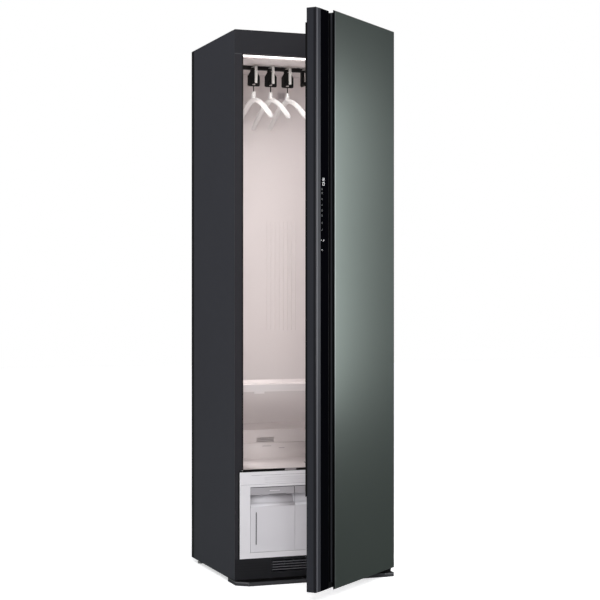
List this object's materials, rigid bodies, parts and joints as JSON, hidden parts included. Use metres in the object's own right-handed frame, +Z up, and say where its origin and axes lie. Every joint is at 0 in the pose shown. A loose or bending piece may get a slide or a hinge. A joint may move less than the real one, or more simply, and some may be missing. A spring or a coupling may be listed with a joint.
{
  "type": "clothes care steam cabinet",
  "caption": "Tall clothes care steam cabinet with a hinged glass door, shaking hanger rail, lift-out shelf, slide-out water tanks and a heat pump with steam generator below.",
  "frame": {"origin": "on the floor, mid-width, in the plane of the casing's front face, under the front stand", "axes": "+Z up, +X to the right as one faces the door, +Y from the door towards the back"},
  "size_m": [0.594, 0.9395, 1.96],
  "materials": {
    "stand_plastic": "fine texture",
    "foot_grey": "plain",
    "pan_steel": "galvanised",
    "casing_paint": "satin, charcoal",
    "back_steel": "galvanised",
    "foam": "foam",
    "chamber_plastic": "light warm grey",
    "grille_grey": "plain",
    "lamp_diffuser": "opal",
    "shelf_plastic": "light warm grey",
    "filter_plastic": "plain",
    "rail_paint": "black",
    "black_plastic": "black",
    "gate_plastic": "light grey",
    "steel": "zinc plated",
    "motor_paint": "cast",
    "module_plastic": "white",
    "bay_plastic": "grey",
    "tank_plastic": "white",
    "lid_plastic": "grey",
    "kick_paint": "dark grey",
    "compressor_paint": "black",
    "mount_rubber": "black",
    "fin_aluminium": "mill",
    "boiler_aluminium": "cast",
    "hose_rubber": "silicone",
    "pipe_copper": "copper",
    "hinge_steel": "black",
    "bush_plastic": "acetal",
    "door_plastic": "grey",
    "channel_plastic": "dark grey",
    "strip_glass": "black glass",
    "board": "solder mask",
    "door_glass": "back-painted, grey green",
    "gasket_rubber": "black",
    "press_plastic": "light warm grey",
    "hanger_plastic": "white"
  },
  "bodies": {
    "root": {"front_stand": "stand_plastic", "rear_feet": "foot_grey", "base_pan": "pan_steel", "side_panels": "casing_paint", "top_panel": "casing_paint", "back_panel": "back_steel", "header_cover": "casing_paint", "front_stiles": "casing_paint", "wall_insulation": "foam", "chamber_liner": "chamber_plastic", "duct_cover": "chamber_plastic", "air_sensor_cover": "grille_grey", "lamp_lens": "lamp_diffuser", "drive_cover": "chamber_plastic", "shelf_supports": "chamber_plastic", "rail_guides": "black_plastic", "drive_motor": "motor_paint", "module_front": "module_plastic", "intake_grille": "module_plastic", "tank_bay": "bay_plastic", "kick_panel": "kick_paint", "compressor": "compressor_paint", "compressor_mounts": "mount_rubber", "heat_exchangers": "fin_aluminium", "fan_housing": "bay_plastic", "fan_motor": "motor_paint", "steam_generator": "boiler_aluminium", "water_pump": "bay_plastic", "water_hoses": "hose_rubber", "refrigerant_pipes": "pipe_copper", "control_box": "bay_plastic", "cord_gland": "black_plastic", "hinge_brackets": "hinge_steel"},
    "door": {"door_frame": "door_plastic", "glass_panel": "door_glass", "control_strip": "strip_glass", "display_board": "board", "handle_channel": "channel_plastic", "door_liner": "chamber_plastic", "door_gasket": "gasket_rubber", "hinge_bushes": "bush_plastic", "press_board": "press_plastic"},
    "press_cover": {"press_cover": "press_plastic"},
    "hanger_rail": {"hanger_rail": "rail_paint", "hanger_holders": "black_plastic", "holder_gates": "gate_plastic"},
    "drive_crank": {"drive_crank": "steel"},
    "hanger_1": {"hanger_hook_1": "black_plastic", "hanger_body_1": "hanger_plastic"},
    "hanger_2": {"hanger_hook_2": "black_plastic", "hanger_body_2": "hanger_plastic"},
    "hanger_3": {"hanger_hook_3": "black_plastic", "hanger_body_3": "hanger_plastic"},
    "shelf": {"shelf": "shelf_plastic"},
    "lint_filter": {"lint_filter": "filter_plastic"},
    "supply_tank": {"supply_tank": "tank_plastic", "supply_tank_lid": "lid_plastic"},
    "drain_tank": {"drain_tank": "tank_plastic", "drain_tank_lid": "lid_plastic"},
    "fan_wheel": {"fan_wheel": "filter_plastic"}
  },
  "joints": [
    {"name": "door_swing", "type": "hinge", "parent": "root", "child": "door", "pos_m": [0.271, -0.032, 1], "axis": [0, 0, 1], "range_deg": [-41, 69]},
    {"name": "press_cover_swing", "type": "hinge", "parent": "door", "child": "press_cover", "pos_m": [0.14621, -0.06297, 1.11], "axis": [0, 0, -1], "range_deg": [0, 100]},
    {"name": "rail_slide", "type": "slide", "parent": "root", "child": "hanger_rail", "axis": [1, 0, 0], "range_m": [-0.02, 0.02]},
    {"name": "crank_spin", "type": "hinge", "parent": "root", "child": "drive_crank", "pos_m": [-0.01, 0.27, 1.87], "axis": [0, 0, 1], "continuous": true},
    {"name": "hanger_swing_1", "type": "hinge", "parent": "hanger_rail", "child": "hanger_1", "pos_m": [-0.142, 0.252, 1.794], "axis": [0, 1, 0], "range_deg": [-12, 12]},
    {"name": "hanger_swing_2", "type": "hinge", "parent": "hanger_rail", "child": "hanger_2", "pos_m": [-0.076, 0.252, 1.794], "axis": [0, 1, 0], "range_deg": [-12, 12]},
    {"name": "hanger_swing_3", "type": "hinge", "parent": "hanger_rail", "child": "hanger_3", "pos_m": [-0.01, 0.252, 1.794], "axis": [0, 1, 0], "range_deg": [-12, 12]},
    {"name": "shelf_lift", "type": "slide", "parent": "root", "child": "shelf", "axis": [0, 0, 1], "range_m": [0, 0.04]},
    {"name": "lint_filter_lift", "type": "slide", "parent": "root", "child": "lint_filter", "axis": [0, 0, 1], "range_m": [0, 0.23]},
    {"name": "supply_tank_slide", "type": "slide", "parent": "root", "child": "supply_tank", "axis": [0, -1, 0], "range_m": [0, 0.28]},
    {"name": "drain_tank_slide", "type": "slide", "parent": "root", "child": "drain_tank", "axis": [0, -1, 0], "range_m": [0, 0.145]},
    {"name": "fan_spin", "type": "hinge", "parent": "root", "child": "fan_wheel", "pos_m": [-0.155, 0.4155, 0.262], "axis": [0, 1, 0], "continuous": true}
  ]
}
